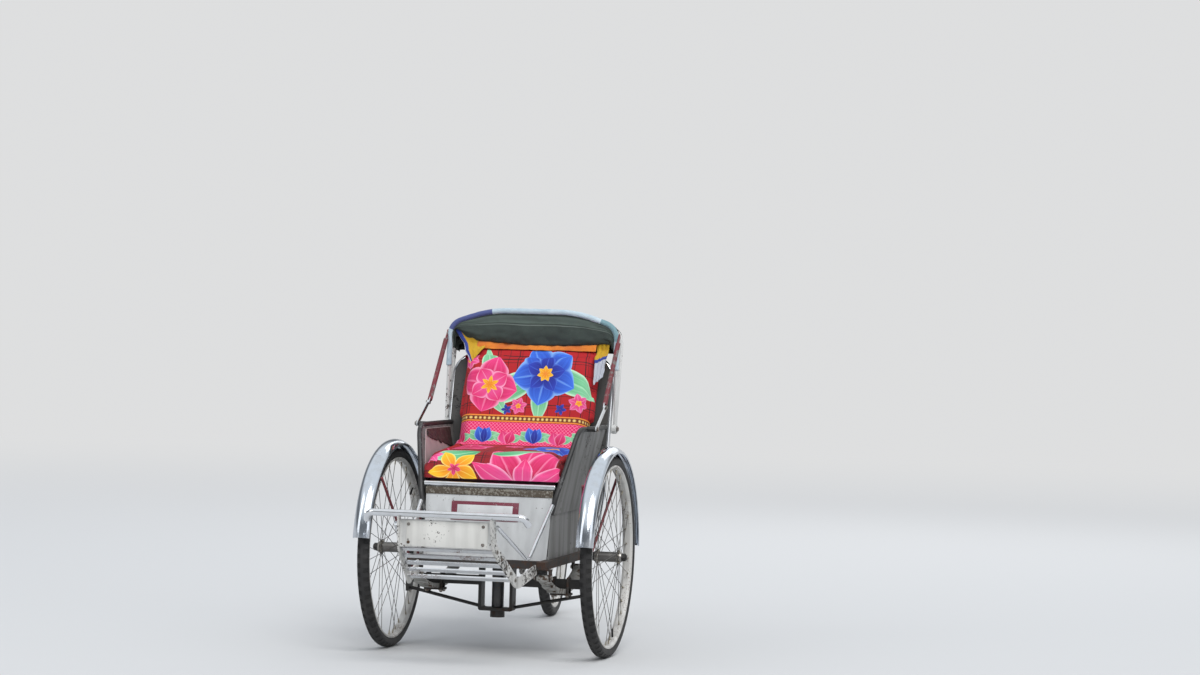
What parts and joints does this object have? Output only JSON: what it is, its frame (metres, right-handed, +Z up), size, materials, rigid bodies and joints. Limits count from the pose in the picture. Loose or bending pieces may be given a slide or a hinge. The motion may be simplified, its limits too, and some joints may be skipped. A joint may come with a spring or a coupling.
{
  "type": "cycle rickshaw",
  "caption": "Pedalled tricycle with a sprung passenger seat between the front wheels, folded hood, slatted footrest, and a driven rear wheel under the rider's saddle.",
  "frame": {"origin": "on the ground, under the middle of the whole vehicle's bounding box", "axes": "+Z up, -Y towards the passenger's front, +X to the carriage's left"},
  "size_m": [0.864, 2.3216, 1.1309],
  "materials": {
    "tyre": "matte black rubber, dusty on the tread",
    "rim_paint": "silver-white paint, chipped, with rust specks",
    "spoke_steel": "dull zinc-plated wire and hub",
    "chrome": "bright chrome plate with small rust pits",
    "white_paint": "off-white enamel, chipped along the edges",
    "grey_paint": "dull grey enamel, streaked",
    "black_iron": "black paint over iron, oily and dusty",
    "spring_steel": "bare spring steel, greyed",
    "rusty_iron": "brown rust over iron",
    "red_paint": "dark red enamel, worn",
    "frame_paint": "blue-black enamel, worn",
    "worn_steel": "greasy worn steel",
    "pedal_rubber": "matte rubber blocks",
    "blanket_cloth": "soft brushed blanket with a floral and plaid print on red",
    "hood_canvas": "dark green-grey waxed canvas",
    "saddle_leather": "worn dark leather"
  },
  "bodies": {
    "carriage": {"axle_beam": "black_iron", "yoke": "black_iron", "kingpin": "black_iron", "truss_rods": "black_iron", "leaf_springs": "spring_steel", "spring_fittings": "rusty_iron", "body_rails": "rusty_iron", "seat_box": "grey_paint", "front_panel": "white_paint", "seat_bar": "chrome", "side_panels": "grey_paint", "arm_rails": "black_iron", "back_hoop": "chrome", "back_sheet": "grey_paint", "push_bar": "chrome", "hood_bows": "chrome", "hood_canvas": "hood_canvas", "hood_stays": "red_paint", "seat_cushion": "blanket_cloth", "back_cushion": "blanket_cloth", "footrest_sides": "white_paint", "footrest_slats": "chrome", "front_board": "white_paint", "bumper_bar": "chrome", "brace_rods": "chrome", "front_mudguards": "chrome", "mudguard_stays": "red_paint"},
    "wheel_left": {"front_tyre_left": "tyre", "front_rim_left": "rim_paint", "front_spoked_hub_left": "spoke_steel"},
    "wheel_right": {"front_tyre_right": "tyre", "front_rim_right": "rim_paint", "front_spoked_hub_right": "spoke_steel"},
    "rear_frame": {"backbone": "frame_paint", "seat_tube": "frame_paint", "seat_post": "chrome", "chain_stays": "frame_paint", "seat_stays": "chrome", "rear_axle": "worn_steel", "rear_mudguard": "chrome", "rear_mudguard_stays": "chrome", "saddle": "saddle_leather", "chain": "worn_steel", "brake_plate": "worn_steel", "brake_rod": "worn_steel", "brake_lever": "chrome"},
    "wheel_rear": {"rear_tyre": "tyre", "rear_rim": "rim_paint", "rear_spoked_hub": "spoke_steel", "rear_sprocket": "worn_steel"},
    "cranks": {"crankset": "worn_steel"},
    "pedal_left_body": {"pedal_left": "pedal_rubber"},
    "pedal_right_body": {"pedal_right": "pedal_rubber"}
  },
  "joints": [
    {"name": "steering", "type": "hinge", "parent": "carriage", "child": "rear_frame", "pos_m": [0, -0.4905, 0.21], "axis": [0, 0, 1], "range_deg": [-36.2, 23.8]},
    {"name": "wheel_left_spin", "type": "hinge", "parent": "carriage", "child": "wheel_left", "pos_m": [0.369, -0.4905, 0.33], "axis": [1, 0, 0], "continuous": true},
    {"name": "wheel_right_spin", "type": "hinge", "parent": "carriage", "child": "wheel_right", "pos_m": [-0.369, -0.4905, 0.33], "axis": [1, 0, 0], "continuous": true},
    {"name": "wheel_rear_spin", "type": "hinge", "parent": "rear_frame", "child": "wheel_rear", "pos_m": [-0.14364, 0.83172, 0.33], "axis": [0.9942, 0.108, 0], "continuous": true},
    {"name": "crank_spin", "type": "hinge", "parent": "rear_frame", "child": "cranks", "pos_m": [-0.09288, 0.36447, 0.28], "axis": [0.9942, 0.108, 0], "continuous": true},
    {"name": "pedal_left_spin", "type": "hinge", "parent": "cranks", "child": "pedal_left_body", "pos_m": [0.0086, 0.54146, 0.28], "axis": [0.9942, 0.108, 0], "continuous": true},
    {"name": "pedal_right_spin", "type": "hinge", "parent": "cranks", "child": "pedal_right_body", "pos_m": [-0.19436, 0.18747, 0.28], "axis": [0.9942, 0.108, 0], "continuous": true}
  ]
}
